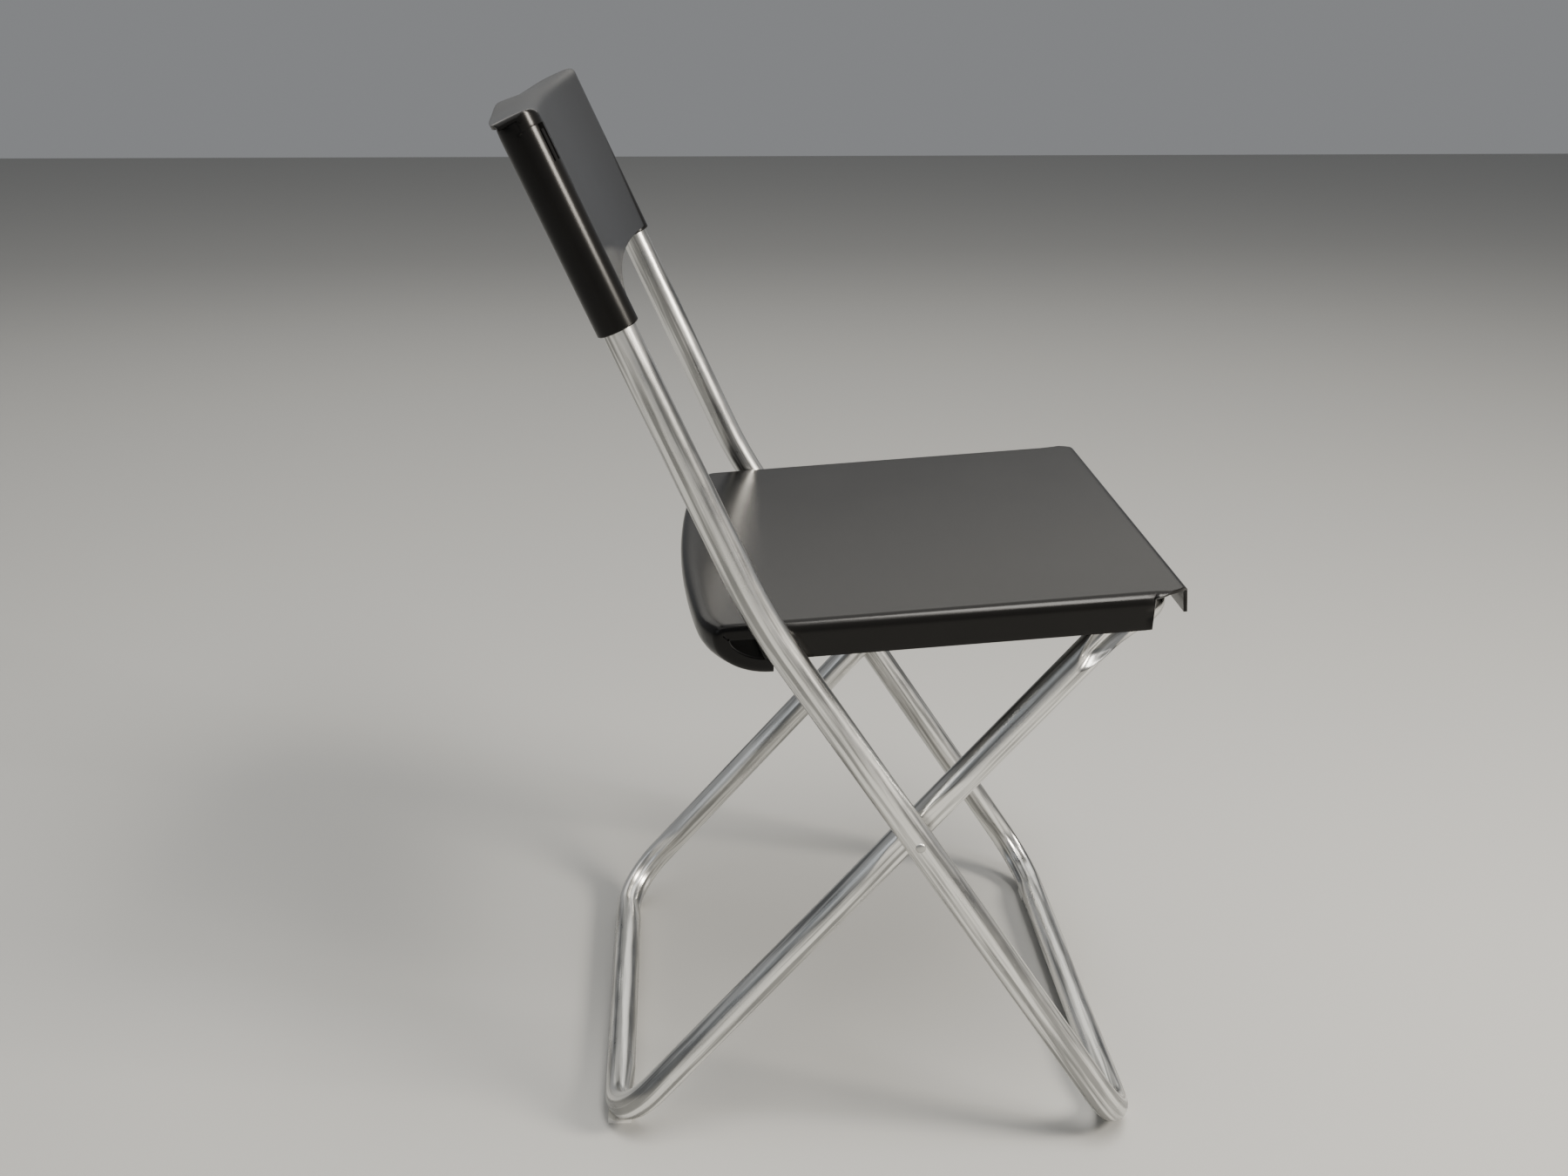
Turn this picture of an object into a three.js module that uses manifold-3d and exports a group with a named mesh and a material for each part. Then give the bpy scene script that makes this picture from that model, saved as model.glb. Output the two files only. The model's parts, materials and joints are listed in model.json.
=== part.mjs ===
// A folding chair: an outer tube frame that carries the backrest, a closed inner tube frame that
// crosses it at two rivets, and a thin seat that hinges on a rod between the outer frame's legs and
// rests on the inner frame's front bar. Millimetres and degrees, +Z up, the sitter faces -Y, and
// left is the sitter's left, +X. The chair stands open.
import * as THREE from "three";
import { mergeVertices } from "three/addons/utils/BufferGeometryUtils.js";
import Module from "manifold-3d";

const wasm = await Module();
wasm.setup();

// Tubes
const TUBE_R = 11;
const TUBE_WALL = 1.5;
const FLOOR_BEND_R = 42; // centreline radius of the four bends at the floor
const GLIDE_DROP = 2; // how far a floor glide holds its tube off the floor
const FLOOR_Z = GLIDE_DROP + TUBE_R; // height of both floor bars' axes
const MIDDLE_Y = 22.5; // middle of the chair's depth, which becomes y = 0

// Outer frame: each side is an upright, a slight bend at the seat and a front leg.
const OUTER_X = 208; // side tubes' axes, left and right of the middle
const FRONT_BAR_Y = -188;
const SEAT_BEND = { y: 80.5, z: 419, r: 400 };
const UPRIGHT_LEAN = 24.4; // degrees back from vertical
const UPRIGHT_LENGTH = 345; // from the seat bend to the tube's open end

// Inner frame: a closed loop between the outer frame's side tubes.
const INNER_X = 185.5;
const REAR_BAR = { y: 184.5, z: FLOOR_Z };
const PIVOT = { y: -29.5, z: 252.5 };
const SEAT_BAR = { y: -192, z: 410.5, half: 154 }; // the straight bar that the seat rests on
const KNEE_Z = 389; // where the inner legs start to bend forward and inward to the seat bar
const KNEE_PULL = { leg: 24, bar: 22 }; // handle lengths of that bend
const LOOP_SEAM = 0.4; // butt joint in the middle of the rear bar

// Pressed places on the outer side of the inner legs
const PIVOT_PRESS = { depth: 2, from: -30, to: 30, ramp: 14 };
const SEAT_PRESS = { depth: 6.5, from: 150, to: 400, ramp: 14 };

// Pivot rivets, on the X axis through PIVOT
const RIVET_R = 2.6;
const RIVET_HEAD = { r: 4.2, h: 1.6 };
const RIVET_GAP = 0.3;
const SPACER = { r: 8, thick: 1.8 };
const TAIL_WASHER = { r: 6.5, thick: 1.2 };

// Seat, in its own frame: origin on the hinge rod, +Y back along the seat, +Z out of its top
const SEAT_HINGE = { y: 64, z: 394 };
const SEAT_TILT = 3.75; // degrees that the seat falls towards the back
const SEAT_X = 194;
const SHELL = 2.5;
const SEAT_TOP = 13.7;
const SEAT_FRONT = -274.4;
const SEAT_CORNER_R = 12;
const SEAT_REAR = 47; // at the sides
const SEAT_REAR_BOW = 14; // how much further back the middle reaches
const SEAT_REAR_CORNER = { y: 28, x: 170 }; // where the rounding of the rear corners starts and ends
const FLANGE = { bottom: -9.3, front: -250, rear: 13 };
const FRONT_LIP = { bottom: -3.6, half: 186 };
const ROD_R = 5;
const BUSH = { bore: 5.3, barrel: 7, collar: 9, collarThick: 2.2, reach: 195.6 };
const BUFFER = { x: 130, width: 26, front: -250, back: -230, bottom: 3.7 };

// Backrest, in its own frame: origin midway between the uprights' axes at the sleeves' lower ends,
// +Z up along the uprights and +Y square to them, backwards
const SLEEVE = { start: 211, length: 139.5, r: 13.9, bore: 11.3, cap: 3 };
const PANEL = { low: -14, high: -16, thick: 3, bow: 11, half: 200, top: 124 };
// The lip's front and top at the sides, as [y, z] from the front to the rear edge
const LIP_LINE = [[-16, 122], [-16, 133], [-15, 137.5], [-12, 140.8], [-7, 141.9], [4, 142], [14, 142]];
const LIP = { half: 221.9, rearBow: 5, rearRise: 4.3, riseHalf: 62, cornerFrom: 212, cornerCut: 3 };
const ARCH = { half: 193, low: 1, rise: 10.5 };
const NOTCH = { x: 217, width: 15, depth: 12.2, from: 107, to: 131 }; // in the sleeves' outer front

// Floor glides: saddles under the ends of both floor bars
const GLIDE = { width: 18, depth: 17, top: 9, gap: 0.3 };
const FRONT_GLIDE_X = 167;
const REAR_GLIDE_X = 156;

const radians = THREE.MathUtils.degToRad;

const steel = new THREE.MeshStandardMaterial({ color: 0xa6a8a4, roughness: 0.38, metalness: 0.9 });
const rivetSteel = new THREE.MeshStandardMaterial({ color: 0x8f918e, roughness: 0.45, metalness: 0.9 });
const blackShell = new THREE.MeshStandardMaterial({ color: 0x1d1c1b, roughness: 0.42, metalness: 0 });
const greyPlastic = new THREE.MeshStandardMaterial({ color: 0xc9c7bf, roughness: 0.6, metalness: 0 });

// ---- Solids

// A closed geometry as a solid that can be joined and cut.
function solid(geometry) {
  const bare = geometry.clone();
  bare.deleteAttribute("normal");
  bare.deleteAttribute("uv");
  const merged = mergeVertices(bare, 1e-3);
  const triVerts = new Uint32Array(merged.index.array);
  return new wasm.Manifold(
    new wasm.Mesh({ numProp: 3, vertProperties: merged.attributes.position.array, triVerts }),
  );
}

// A solid back as a geometry.
function geometryOf(manifold) {
  const mesh = manifold.getMesh();
  const geometry = new THREE.BufferGeometry();
  geometry.setAttribute("position", new THREE.BufferAttribute(new Float32Array(mesh.vertProperties), 3));
  geometry.setIndex(new THREE.BufferAttribute(new Uint32Array(mesh.triVerts), 1));
  geometry.computeVertexNormals();
  return geometry;
}

const joined = (...geometries) => geometries.map(solid).reduce((whole, next) => whole.add(next));

const cutFrom = (whole, ...geometries) =>
  geometries.map(solid).reduce((left, next) => left.subtract(next), whole);

function boxBetween(low, high) {
  const box = new THREE.BoxGeometry(high[0] - low[0], high[1] - low[1], high[2] - low[2]);
  return box.translate((low[0] + high[0]) / 2, (low[1] + high[1]) / 2, (low[2] + high[2]) / 2);
}

// A cylinder along X about the line through (y, z).
function pinAlongX(radius, xLow, xHigh, y, z, sides = 24) {
  const pin = new THREE.CylinderGeometry(radius, radius, xHigh - xLow, sides);
  return pin.rotateZ(Math.PI / 2).translate((xLow + xHigh) / 2, y, z);
}

// A profile of [radius, x] pairs turned about the X axis.
function turnedAboutX(profile, sides = 24) {
  const lathe = new THREE.LatheGeometry(profile.map(([r, x]) => new THREE.Vector2(r, x)), sides);
  return lathe.rotateZ(-Math.PI / 2);
}

function moveVertices(geometry, move) {
  const place = geometry.attributes.position;
  const point = new THREE.Vector3();
  for (let i = 0; i < place.count; i++) {
    move(point.fromBufferAttribute(place, i));
    place.setXYZ(i, point.x, point.y, point.z);
  }
  return geometry;
}

// A section drawn in Y and Z, run across X from -half to half, with more steps near its ends and
// its middle bowed back.
function runAcross(section, half, bow, steps) {
  const run = new THREE.ExtrudeGeometry(section, { depth: 2, steps, bevelEnabled: false });
  return moveVertices(run, (p) => {
    const x = half * Math.sin(((p.z - 1) * Math.PI) / 2);
    p.set(x, p.x + bow * (1 - (x / half) ** 2), p.y);
  });
}

// ---- Tubes

// A centreline given as stations, so that a straight run costs two rings and a bend as many as it
// needs. u counts stations instead of millimetres.
class StationCurve extends THREE.Curve {
  constructor(stations) {
    super();
    this.stations = stations;
  }
  getPointAt(u, target = new THREE.Vector3()) {
    const last = this.stations.length - 1;
    const index = Math.min(Math.floor(u * last + 1e-6), last - 1);
    return target.lerpVectors(this.stations[index], this.stations[index + 1], u * last - index);
  }
  getTangentAt(u, target = new THREE.Vector3()) {
    const last = this.stations.length - 1;
    const index = Math.round(u * last);
    const ahead = this.stations[Math.min(index + 1, last)];
    const here = this.stations[index];
    const behind = this.stations[Math.max(index - 1, 0)];
    const into = here.clone().sub(behind).normalize();
    const out = ahead.clone().sub(here).normalize();
    return target.copy(into).add(out).normalize();
  }
}

// The stations of a polyline whose corners are rounded: corners are { at, r, steps }.
function roundedRun(corners) {
  const stations = [];
  corners.forEach(({ at, r, steps }, i) => {
    if (!r) {
      stations.push(at);
      return;
    }
    const into = at.clone().sub(corners[i - 1].at).normalize();
    const out = corners[i + 1].at.clone().sub(at).normalize();
    const turn = into.angleTo(out);
    const start = at.clone().addScaledVector(into, -r * Math.tan(turn / 2));
    const inward = out.clone().addScaledVector(into, -Math.cos(turn)).normalize();
    for (let k = 0; k <= steps; k++) {
      const angle = (turn * k) / steps;
      const along = start.clone().addScaledVector(into, r * Math.sin(angle));
      stations.push(along.addScaledVector(inward, r * (1 - Math.cos(angle))));
    }
  });
  return new StationCurve(stations);
}

function tubeAlong(path) {
  const ring = new THREE.Shape().absarc(0, 0, TUBE_R, 0, 2 * Math.PI);
  ring.holes.push(new THREE.Path().absarc(0, 0, TUBE_R - TUBE_WALL, 0, 2 * Math.PI, true));
  return new THREE.ExtrudeGeometry(ring, {
    steps: path.stations.length - 1,
    extrudePath: path,
    curveSegments: 8,
  });
}

// Right half of a path (-X) followed by its mirror image on the left.
function bothSides(rightHalf) {
  const leftHalf = rightHalf.map(({ at, ...rest }) => {
    return { at: new THREE.Vector3(-at.x, at.y, at.z), ...rest };
  });
  return [...rightHalf, ...leftHalf.reverse()];
}

const lean = radians(UPRIGHT_LEAN);
const uprightPoint = (distance) => ({
  y: SEAT_BEND.y + distance * Math.sin(lean),
  z: SEAT_BEND.z + distance * Math.cos(lean),
});

function outerFrameTube() {
  const top = uprightPoint(UPRIGHT_LENGTH);
  const at = (y, z) => new THREE.Vector3(-OUTER_X, y, z);
  const rightHalf = [
    { at: at(top.y, top.z) },
    { at: at(SEAT_BEND.y, SEAT_BEND.z), r: SEAT_BEND.r, steps: 4 },
    { at: at(FRONT_BAR_Y, FLOOR_Z), r: FLOOR_BEND_R, steps: 8 },
  ];
  const rivetHole = pinAlongX(RIVET_R + RIVET_GAP, -240, 240, PIVOT.y, PIVOT.z, 16);
  return cutFrom(solid(tubeAlong(roundedRun(bothSides(rightHalf)))), rivetHole);
}

// Unit vector up an inner leg, and a point on its axis at a distance above the pivot.
const legRise = new THREE.Vector2(PIVOT.y - REAR_BAR.y, PIVOT.z - REAR_BAR.z).normalize();
const legPoint = (distance) => new THREE.Vector3(
  -INNER_X,
  PIVOT.y + distance * legRise.x,
  PIVOT.z + distance * legRise.y,
);

// How far a pressed place is in force at a distance above the pivot, from 0 to 1.
function pressAt(press, distance) {
  const rising = THREE.MathUtils.smoothstep(distance, press.from - press.ramp, press.from);
  const falling = THREE.MathUtils.smoothstep(distance, press.to, press.to + press.ramp);
  return rising * (1 - falling);
}

// Presses the outer half of the inner legs flatter at the pivot and under the seat's flanges.
function pressLeg(p) {
  const out = Math.abs(p.x) - INNER_X;
  if (out <= 0 || p.z < PIVOT.z - 60) return;
  const distance = (p.y - PIVOT.y) * legRise.x + (p.z - PIVOT.z) * legRise.y;
  const depths = [PIVOT_PRESS, SEAT_PRESS].map((press) => press.depth * pressAt(press, distance));
  const depth = Math.max(...depths);
  p.x = Math.sign(p.x) * (INNER_X + out * (1 - depth / TUBE_R));
}

function innerFrameTube() {
  const stations = [-44, -37, -30, 0, 30, 37, 44, 136, 143, 150];
  const onLeg = stations.map((distance) => ({ at: legPoint(distance) }));
  const knee = legPoint((KNEE_Z - PIVOT.z) / legRise.y);
  const barEnd = new THREE.Vector3(-SEAT_BAR.half, SEAT_BAR.y, SEAT_BAR.z);
  const bend = new THREE.CubicBezierCurve3(
    knee,
    knee.clone().add(new THREE.Vector3(0, legRise.x, legRise.y).multiplyScalar(KNEE_PULL.leg)),
    barEnd.clone().add(new THREE.Vector3(-KNEE_PULL.bar, 0, 0)),
    barEnd,
  );
  const rightHalf = [
    { at: new THREE.Vector3(-LOOP_SEAM / 2, REAR_BAR.y, REAR_BAR.z) },
    { at: new THREE.Vector3(-INNER_X, REAR_BAR.y, REAR_BAR.z), r: FLOOR_BEND_R, steps: 8 },
    ...onLeg,
    ...bend.getPoints(9).map((at) => ({ at })),
  ];
  const tube = moveVertices(tubeAlong(roundedRun(bothSides(rightHalf))), pressLeg);
  const rivetHole = pinAlongX(RIVET_R + RIVET_GAP, -240, 240, PIVOT.y, PIVOT.z, 16);
  return cutFrom(solid(tube), rivetHole);
}

// ---- Pivots, rod and glides

// Left-hand pieces; x runs outwards from the middle.
const innerFace = INNER_X - TUBE_R;
const pressedFace = INNER_X + TUBE_R - PIVOT_PRESS.depth;
const outerFace = OUTER_X + TUBE_R;

function pivotRivet() {
  const tail = innerFace - TAIL_WASHER.thick - 2 * RIVET_GAP - RIVET_HEAD.h;
  return turnedAboutX([
    [0, tail],
    [RIVET_HEAD.r * 0.8, tail + 0.5],
    [RIVET_HEAD.r, tail + RIVET_HEAD.h],
    [RIVET_R, tail + RIVET_HEAD.h],
    [RIVET_R, outerFace + RIVET_GAP],
    [RIVET_HEAD.r, outerFace + RIVET_GAP],
    [RIVET_HEAD.r * 0.75, outerFace + RIVET_GAP + RIVET_HEAD.h * 0.7],
    [0, outerFace + RIVET_GAP + RIVET_HEAD.h],
  ], 16);
}

function flatRing(bore, radius, xLow, xHigh) {
  return turnedAboutX([[bore, xLow], [radius, xLow], [radius, xHigh], [bore, xHigh], [bore, xLow]]);
}

const pivotSpacer = () =>
  flatRing(RIVET_R + RIVET_GAP, SPACER.r, pressedFace + 0.35, pressedFace + 0.35 + SPACER.thick);

function tailWasher() {
  const outside = innerFace - RIVET_GAP;
  return flatRing(RIVET_R + RIVET_GAP, TAIL_WASHER.r, outside - TAIL_WASHER.thick, outside);
}

function seatHingeRod() {
  const end = OUTER_X - TUBE_R - 0.4;
  return pinAlongX(ROD_R, -end, end, SEAT_HINGE.y, SEAT_HINGE.z);
}

// A saddle that hugs the underside of a floor bar.
function glide(x, barY) {
  const block = boxBetween(
    [x - GLIDE.width / 2, barY - GLIDE.depth / 2, 0],
    [x + GLIDE.width / 2, barY + GLIDE.depth / 2, GLIDE.top],
  );
  const bar = pinAlongX(TUBE_R + GLIDE.gap, x - GLIDE.width, x + GLIDE.width, barY, FLOOR_Z, 32);
  return cutFrom(solid(block), bar);
}

// ---- Seat

function seatPlate() {
  const plan = new THREE.Shape();
  plan.moveTo(-SEAT_X + SEAT_CORNER_R, SEAT_FRONT);
  plan.lineTo(SEAT_X - SEAT_CORNER_R, SEAT_FRONT);
  plan.quadraticCurveTo(SEAT_X, SEAT_FRONT, SEAT_X, SEAT_FRONT + SEAT_CORNER_R);
  plan.lineTo(SEAT_X, SEAT_REAR);
  plan.quadraticCurveTo(0, SEAT_REAR + 2 * SEAT_REAR_BOW, -SEAT_X, SEAT_REAR);
  plan.lineTo(-SEAT_X, SEAT_FRONT + SEAT_CORNER_R);
  plan.quadraticCurveTo(-SEAT_X, SEAT_FRONT, -SEAT_X + SEAT_CORNER_R, SEAT_FRONT);
  const plate = new THREE.ExtrudeGeometry(plan, { depth: SHELL, bevelEnabled: false, curveSegments: 10 });
  return plate.translate(0, 0, SEAT_TOP - SHELL);
}

// The rear edge rolls down and curls forward under the seat.
function rearCurl() {
  const section = new THREE.Shape();
  section.moveTo(36, SEAT_TOP);
  section.quadraticCurveTo(51.5, SEAT_TOP, 51, 5);
  section.bezierCurveTo(50, -10, 32, -17, 8, -18);
  section.lineTo(8, -18 + SHELL);
  section.bezierCurveTo(30, -15, 47.5, -8, 48.5, 5);
  section.quadraticCurveTo(49, SEAT_TOP - SHELL, 36, SEAT_TOP - SHELL);
  return runAcross(section, SEAT_X - 3, SEAT_REAR_BOW, 10);
}

// A tall block with the seat's outline, which rounds its rear corners.
function seatBlank() {
  const { x, y } = SEAT_REAR_CORNER;
  const plan = new THREE.Shape();
  plan.moveTo(SEAT_X + 1, SEAT_FRONT - 10);
  plan.lineTo(SEAT_X + 1, y);
  plan.quadraticCurveTo(SEAT_X + 1, SEAT_REAR + 9, x, SEAT_REAR + 12);
  plan.lineTo(x - 30, SEAT_REAR + 40);
  plan.lineTo(30 - x, SEAT_REAR + 40);
  plan.lineTo(-x, SEAT_REAR + 12);
  plan.quadraticCurveTo(-SEAT_X - 1, SEAT_REAR + 9, -SEAT_X - 1, y);
  plan.lineTo(-SEAT_X - 1, SEAT_FRONT - 10);
  const blank = new THREE.ExtrudeGeometry(plan, { depth: 80, bevelEnabled: false, curveSegments: 8 });
  return blank.translate(0, 0, -40);
}

function seatShell() {
  const flanges = [-1, 1].map((side) => {
    const [xLow, xHigh] = side < 0 ? [-SEAT_X, -SEAT_X + SHELL] : [SEAT_X - SHELL, SEAT_X];
    return boxBetween([xLow, FLANGE.front, FLANGE.bottom], [xHigh, FLANGE.rear, SEAT_TOP - 1]);
  });
  const frontLip = boxBetween(
    [-FRONT_LIP.half, SEAT_FRONT, FRONT_LIP.bottom],
    [FRONT_LIP.half, SEAT_FRONT + SHELL, SEAT_TOP - 1],
  );
  const bushHoles = pinAlongX(BUSH.barrel + 0.3, -SEAT_X - 5, SEAT_X + 5, 0, 0);
  const shell = joined(seatPlate(), rearCurl(), frontLip, ...flanges).intersect(solid(seatBlank()));
  return cutFrom(shell, bushHoles);
}

function hingeBush() {
  const collarFace = SEAT_X - SHELL - 0.3;
  return turnedAboutX([
    [BUSH.bore, collarFace - BUSH.collarThick],
    [BUSH.collar, collarFace - BUSH.collarThick],
    [BUSH.collar, collarFace],
    [BUSH.barrel, collarFace],
    [BUSH.barrel, BUSH.reach],
    [BUSH.bore, BUSH.reach],
    [BUSH.bore, collarFace - BUSH.collarThick],
  ]);
}

// A ridge under the seat, just behind the seat bar, which keeps the bar in the front corner.
function seatBuffer(side) {
  const tilt = radians(SEAT_TILT);
  const bar = new THREE.Vector2(SEAT_BAR.y - SEAT_HINGE.y, SEAT_BAR.z - SEAT_HINGE.z);
  bar.rotateAround(new THREE.Vector2(), tilt);
  const block = boxBetween(
    [side * BUFFER.x - BUFFER.width / 2, BUFFER.front, BUFFER.bottom],
    [side * BUFFER.x + BUFFER.width / 2, BUFFER.back, SEAT_TOP - SHELL - 0.3],
  );
  return cutFrom(solid(block), pinAlongX(TUBE_R + 0.4, -200, 200, bar.x, bar.y, 48));
}

// ---- Backrest

// A sheet whose front line, given as [y, z] points, is thickened square to itself.
function sheetSection(front, thick) {
  const line = front.map(([y, z]) => new THREE.Vector2(y, z));
  const back = line.map((point, i) => {
    const ahead = line[Math.min(i + 1, line.length - 1)];
    const behind = line[Math.max(i - 1, 0)];
    const along = ahead.clone().sub(behind).normalize();
    return new THREE.Vector2(point.x + thick * along.y, point.y - thick * along.x);
  });
  return new THREE.Shape([...line, ...back.reverse()].reverse());
}

function sleeve(side) {
  const profile = [
    [SLEEVE.bore, 0],
    [SLEEVE.r, 0],
    [SLEEVE.r, SLEEVE.length],
    [0, SLEEVE.length],
    [0, SLEEVE.length - SLEEVE.cap],
    [SLEEVE.bore, SLEEVE.length - SLEEVE.cap],
    [SLEEVE.bore, 0],
  ];
  const lathe = new THREE.LatheGeometry(profile.map(([r, z]) => new THREE.Vector2(r, z)), 24);
  return lathe.rotateX(Math.PI / 2).translate(side * OUTER_X, 0, 0);
}

// How far along the lip a point is, from 0 at its front to 1 at its rear edge.
function towardsRear(y) {
  const [front] = LIP_LINE[0];
  const [rear] = LIP_LINE.at(-1);
  return THREE.MathUtils.clamp((y - front) / (rear - front), 0, 1);
}

// A section of the lip run across the backrest: its rear edge bows back and rises in the middle.
function acrossLip(section, half) {
  const run = new THREE.ExtrudeGeometry(section, { depth: 2, steps: 28, bevelEnabled: false });
  return moveVertices(run, (p) => {
    const x = half * Math.sin(((p.z - 1) * Math.PI) / 2);
    const middle = 1 - (x / half) ** 2;
    const rear = towardsRear(p.x);
    const outward = Math.max(0, Math.abs(x) - LIP.cornerFrom) / (LIP.half - LIP.cornerFrom);
    const y = p.x + (PANEL.bow + LIP.rearBow * rear) * middle - LIP.cornerCut * rear * outward ** 2;
    p.set(x, y, p.y + LIP.rearRise * rear * Math.exp(-((x / LIP.riseHalf) ** 2)));
  });
}

// Everything above and in front of the lip, which the sleeves' upper ends mustn't reach.
function aboveLip() {
  const [rear] = LIP_LINE.at(-1);
  const [front, start] = LIP_LINE[0];
  const line = LIP_LINE.map(([y, z]) => new THREE.Vector2(y, z - 0.5));
  const corners = [[rear, 200], [front - 40, 200], [front - 40, start]];
  const above = new THREE.Shape([...line, ...corners.map(([y, z]) => new THREE.Vector2(y, z))]);
  return acrossLip(above, LIP.half + 10);
}

function backrestShell() {
  const panelSection = sheetSection([[PANEL.low, 0], [PANEL.high, PANEL.top]], PANEL.thick);
  const panel = runAcross(panelSection, PANEL.half, PANEL.bow, 16);
  const lip = acrossLip(sheetSection(LIP_LINE, PANEL.thick), LIP.half);
  const arch = new THREE.Shape();
  arch.moveTo(-ARCH.half, -30);
  arch.lineTo(ARCH.half, -30);
  arch.lineTo(ARCH.half, ARCH.low);
  arch.quadraticCurveTo(0, ARCH.low + 2 * ARCH.rise, -ARCH.half, ARCH.low);
  const archCut = new THREE.ExtrudeGeometry(arch, { depth: 80, bevelEnabled: false, curveSegments: 16 });
  archCut.rotateX(Math.PI / 2).translate(0, 40, 0);
  const notches = [-1, 1].map((side) =>
    boxBetween(
      [side * NOTCH.x - NOTCH.width / 2, -40, NOTCH.from],
      [side * NOTCH.x + NOTCH.width / 2, -NOTCH.depth, NOTCH.to],
    ),
  );
  const bores = [-1, 1].map((side) => {
    const bore = new THREE.CylinderGeometry(SLEEVE.bore, SLEEVE.bore, SLEEVE.length - SLEEVE.cap + 20, 24);
    return bore.rotateX(Math.PI / 2).translate(side * OUTER_X, 0, (SLEEVE.length - SLEEVE.cap - 20) / 2);
  });
  const sleeves = cutFrom(joined(sleeve(-1), sleeve(1)), aboveLip());
  const shell = sleeves.add(joined(panel, lip));
  return cutFrom(shell, archCut, ...notches, ...bores);
}

// ---- Assembly

const chair = new THREE.Group();

function add(parent, name, shape, material) {
  const geometry = shape.isBufferGeometry ? shape : geometryOf(shape);
  const mesh = new THREE.Mesh(geometry, material);
  mesh.name = name;
  parent.add(mesh);
  return mesh;
}

// The same turned piece on the left (+X) and, facing the other way, on the right, about the line
// through (y, z).
function addPair(parent, name, makePiece, material, y, z) {
  add(parent, name + "_left", makePiece(), material).position.set(0, y, z);
  const right = add(parent, name + "_right", makePiece(), material);
  right.position.set(0, y, z);
  right.rotation.z = Math.PI;
}

const standing = new THREE.Group(); // everything, in the frame of the dimensions above

add(standing, "outer_frame_tube", outerFrameTube(), steel);
add(standing, "inner_frame_tube", innerFrameTube(), steel);
add(standing, "seat_hinge_rod", seatHingeRod(), steel);
addPair(standing, "pivot_rivet", pivotRivet, rivetSteel, PIVOT.y, PIVOT.z);
addPair(standing, "pivot_spacer", pivotSpacer, greyPlastic, PIVOT.y, PIVOT.z);
addPair(standing, "rivet_washer", tailWasher, rivetSteel, PIVOT.y, PIVOT.z);
for (const [side, sign] of [["left", 1], ["right", -1]]) {
  add(standing, "front_glide_" + side, glide(sign * FRONT_GLIDE_X, FRONT_BAR_Y), greyPlastic);
  add(standing, "rear_glide_" + side, glide(sign * REAR_GLIDE_X, REAR_BAR.y), greyPlastic);
}

const seat = new THREE.Group();
seat.position.set(0, SEAT_HINGE.y, SEAT_HINGE.z);
seat.rotation.x = -radians(SEAT_TILT);
add(seat, "seat_shell", seatShell(), blackShell);
addPair(seat, "hinge_bush", hingeBush, greyPlastic, 0, 0);
add(seat, "seat_buffer_left", seatBuffer(1), greyPlastic);
add(seat, "seat_buffer_right", seatBuffer(-1), greyPlastic);
standing.add(seat);

const sleeveStart = uprightPoint(SLEEVE.start);
const backrest = add(standing, "backrest_shell", backrestShell(), blackShell);
backrest.position.set(0, sleeveStart.y, sleeveStart.z);
backrest.rotation.x = -lean;

standing.position.y = -MIDDLE_Y;
chair.add(standing);

export default chair;
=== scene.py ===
"""The folding chair: its visible skin, materials, light and camera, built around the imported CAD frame.

The chair's lengths are millimetres here and become metres where objects are made. Only the floor and the
lights are placed in metres. Y and Z of the chair are written as in the CAD part, whose Y is MIDDLE_Y more
than the row frame's.
"""

import json
import math

import bmesh
import bpy
import numpy as np
from mathutils import Matrix, Vector


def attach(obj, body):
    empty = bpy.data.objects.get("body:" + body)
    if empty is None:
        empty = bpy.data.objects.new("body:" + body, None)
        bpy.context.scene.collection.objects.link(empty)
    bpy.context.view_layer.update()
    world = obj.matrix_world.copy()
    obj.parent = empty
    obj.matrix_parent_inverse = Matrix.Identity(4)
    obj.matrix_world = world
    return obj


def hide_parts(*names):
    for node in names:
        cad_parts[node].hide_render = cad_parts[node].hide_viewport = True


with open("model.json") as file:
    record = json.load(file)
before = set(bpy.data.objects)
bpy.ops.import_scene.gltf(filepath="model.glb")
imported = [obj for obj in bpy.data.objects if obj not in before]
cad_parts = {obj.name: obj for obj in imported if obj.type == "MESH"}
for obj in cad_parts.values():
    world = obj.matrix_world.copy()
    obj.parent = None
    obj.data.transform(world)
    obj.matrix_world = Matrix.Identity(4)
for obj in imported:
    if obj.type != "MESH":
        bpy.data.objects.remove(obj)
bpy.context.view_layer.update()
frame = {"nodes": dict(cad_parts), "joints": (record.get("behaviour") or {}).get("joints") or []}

MM = 0.001
joint_at = {joint["name"]: Vector(joint["pos_m"]) / MM for joint in frame["joints"]}

# ---- Driving dimensions, the same as the CAD part's

PIVOT_Y = -29.5
MIDDLE_Y = PIVOT_Y - joint_at["frame_fold"].y
PIVOT_Z = joint_at["frame_fold"].z
HINGE_Y = joint_at["seat_fold"].y + MIDDLE_Y
HINGE_Z = joint_at["seat_fold"].z

TUBE_R = 11
FLOOR_Z = 13  # height of the floor bars' axes
FLOOR_BEND_R = 42
OUTER_X = 208
FRONT_BAR_Y = -188
SEAT_BEND_AT = (80.5, 419)
SEAT_BEND_R = 400
UPRIGHT_LEAN = math.radians(24.4)
UPRIGHT_LENGTH = 345
INNER_X = 185.5
REAR_BAR_Y = 184.5
SEAT_BAR_AT = (-192, 410.5)
SEAT_BAR_HALF = 154
KNEE_Z = 389
KNEE_PULL_LEG = 24
KNEE_PULL_BAR = 22

SEAT_TILT = math.radians(3.75)
SEAT_X = 194
SEAT_TOP = 13.7
SEAT_FRONT = -274.4
SHELL = 2.5

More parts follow.
